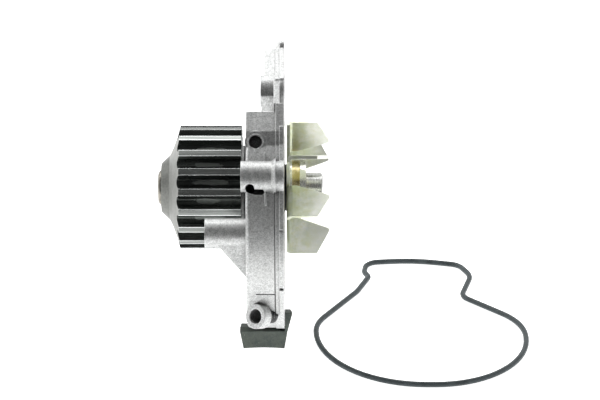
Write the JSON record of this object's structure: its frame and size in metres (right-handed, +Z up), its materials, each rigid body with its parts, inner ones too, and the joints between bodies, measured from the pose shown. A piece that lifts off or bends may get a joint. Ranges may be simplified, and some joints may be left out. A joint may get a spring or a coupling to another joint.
{
  "type": "water pump",
  "caption": "Automotive water pump with a toothed belt sprocket, cast aluminium housing, stamped impeller, rubber foot strip and a loose moulded ring gasket.",
  "frame": {"origin": "shaft axis where it crosses the machined mounting face", "axes": "+X along the shaft from the sprocket towards the impeller, +Z up, +Y away from the picture's camera; the pump leans back 26 degrees about X"},
  "size_m": [0.1717, 0.124, 0.1391],
  "materials": {
    "cast_aluminium": "sand-blasted casting",
    "bearing_steel": "ground",
    "seal_rubber": "moulded",
    "cage_nylon": "moulded",
    "ball_steel": "polished",
    "shaft_steel": "ground",
    "sprocket_steel": "black oxide with bright lands",
    "stamped_steel": "stamped",
    "seal_brass": "drawn",
    "bellows_rubber": "moulded",
    "spring_steel": "drawn wire",
    "carbon": "lapped",
    "ceramic": "lapped",
    "hub_brass": "turned",
    "passivated_sheet": "yellow passivated",
    "foot_rubber": "moulded",
    "ring_rubber": "moulded"
  },
  "bodies": {
    "housing": {"housing": "cast_aluminium", "bearing_outer_ring": "bearing_steel", "bearing_seal_front": "seal_rubber", "bearing_seal_rear": "seal_rubber", "seal_cup": "seal_brass", "seal_bellows": "bellows_rubber", "seal_spring": "spring_steel", "foot_rubber": "foot_rubber"},
    "rotor": {"shaft": "shaft_steel", "sprocket": "sprocket_steel", "slinger": "stamped_steel", "mating_ring": "ceramic", "mating_ring_boot": "bellows_rubber", "impeller_hub": "hub_brass", "impeller": "passivated_sheet"},
    "front_ball_row": {"ball_cage_front": "cage_nylon", "balls_front": "ball_steel"},
    "rear_ball_row": {"ball_cage_rear": "cage_nylon", "balls_rear": "ball_steel"},
    "seal_face": {"carbon_ring": "carbon", "seal_spring_plate": "stamped_steel"},
    "gasket": {"ring_gasket": "ring_rubber"}
  },
  "joints": [
    {"name": "rotor_spin", "type": "hinge", "parent": "housing", "child": "rotor", "pos_m": [0, 0, 0], "axis": [1, 0, 0], "continuous": true},
    {"name": "front_balls_roll", "type": "hinge", "parent": "housing", "child": "front_ball_row", "pos_m": [0, 0, 0], "axis": [1, 0, 0], "continuous": true},
    {"name": "rear_balls_roll", "type": "hinge", "parent": "housing", "child": "rear_ball_row", "pos_m": [0, 0, 0], "axis": [1, 0, 0], "continuous": true},
    {"name": "seal_face_float", "type": "slide", "parent": "housing", "child": "seal_face", "axis": [1, 0, 0], "range_m": [-0.0008, 0], "stiffness_N_per_m": 600, "springref_m": 0.004, "deforming": ["seal_spring"]},
    {"name": "gasket_lift", "type": "slide", "parent": "housing", "child": "gasket", "axis": [0, 0, 1], "range_m": [0, 0.03]}
  ],
  "couplings": [
    {"joint": "front_balls_roll", "follows": "rotor_spin", "ratio": 0.34881},
    {"joint": "rear_balls_roll", "follows": "rotor_spin", "ratio": 0.34881}
  ]
}
